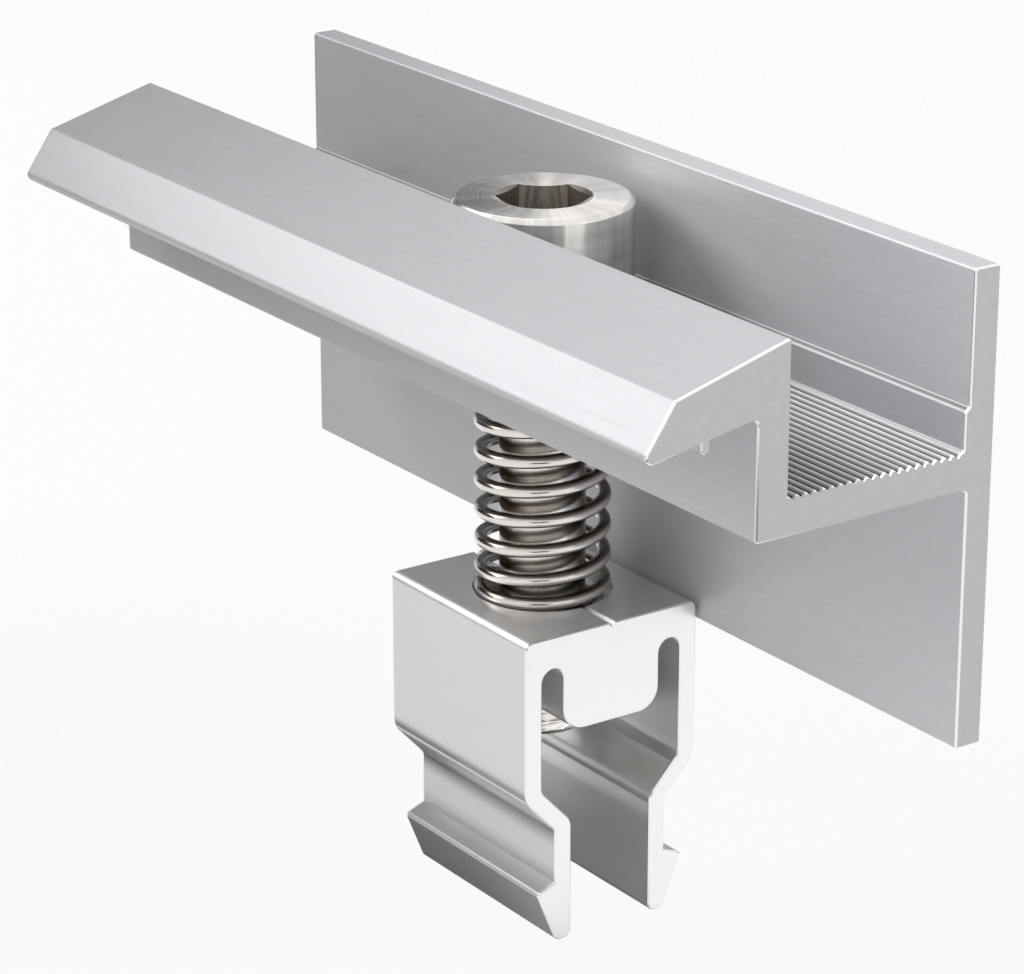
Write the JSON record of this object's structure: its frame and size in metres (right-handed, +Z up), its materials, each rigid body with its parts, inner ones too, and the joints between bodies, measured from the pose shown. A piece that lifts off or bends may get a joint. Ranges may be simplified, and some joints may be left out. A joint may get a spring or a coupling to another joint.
{
  "type": "solar panel end clamp",
  "caption": "Extruded end clamp for a panel frame: bevelled nose, serrated shelf and back plate, with a cap screw, its lock washer, a spring and a channel nut.",
  "frame": {"origin": "on the screw's axis, level with the foot of the back plate, where the rail's top face lies", "axes": "+X along the extruded clamp body, +Y from the nose to the back plate, +Z up along the screw out of its head"},
  "size_m": [0.08, 0.0283, 0.0558],
  "materials": {
    "brushed_aluminium": "mill finish with fine brush lines along its length, clear anodised",
    "satin_aluminium": "satin extruded faces, pale sawn ends",
    "screw_steel": "turned stainless steel, bright",
    "spring_wire": "polished stainless spring wire"
  },
  "bodies": {
    "clamp": {"clamp_body": "brushed_aluminium"},
    "spring_end": {"compression_spring": "spring_wire"},
    "screw": {"cap_screw": "screw_steel", "lock_washer": "screw_steel"},
    "nut": {"channel_nut": "satin_aluminium"}
  },
  "joints": [
    {"name": "spring_lift", "type": "slide", "parent": "clamp", "child": "spring_end", "axis": [0, 0, 1], "range_m": [0, 0.005], "stiffness_N_per_m": 1250, "springref_m": -0.004, "deforming": ["compression_spring"]},
    {"name": "screw_turn", "type": "hinge", "parent": "spring_end", "child": "screw", "pos_m": [0, 0, 0], "axis": [0, 0, 1], "range_deg": [-930, 1080]},
    {"name": "nut_travel", "type": "slide", "parent": "spring_end", "child": "nut", "axis": [0, 0, 1], "range_m": [-0.0038, 0.0033], "deforming": ["compression_spring"]}
  ],
  "couplings": [
    {"joint": "nut_travel", "follows": "screw_turn", "m_per_rad": -0.00019894}
  ]
}
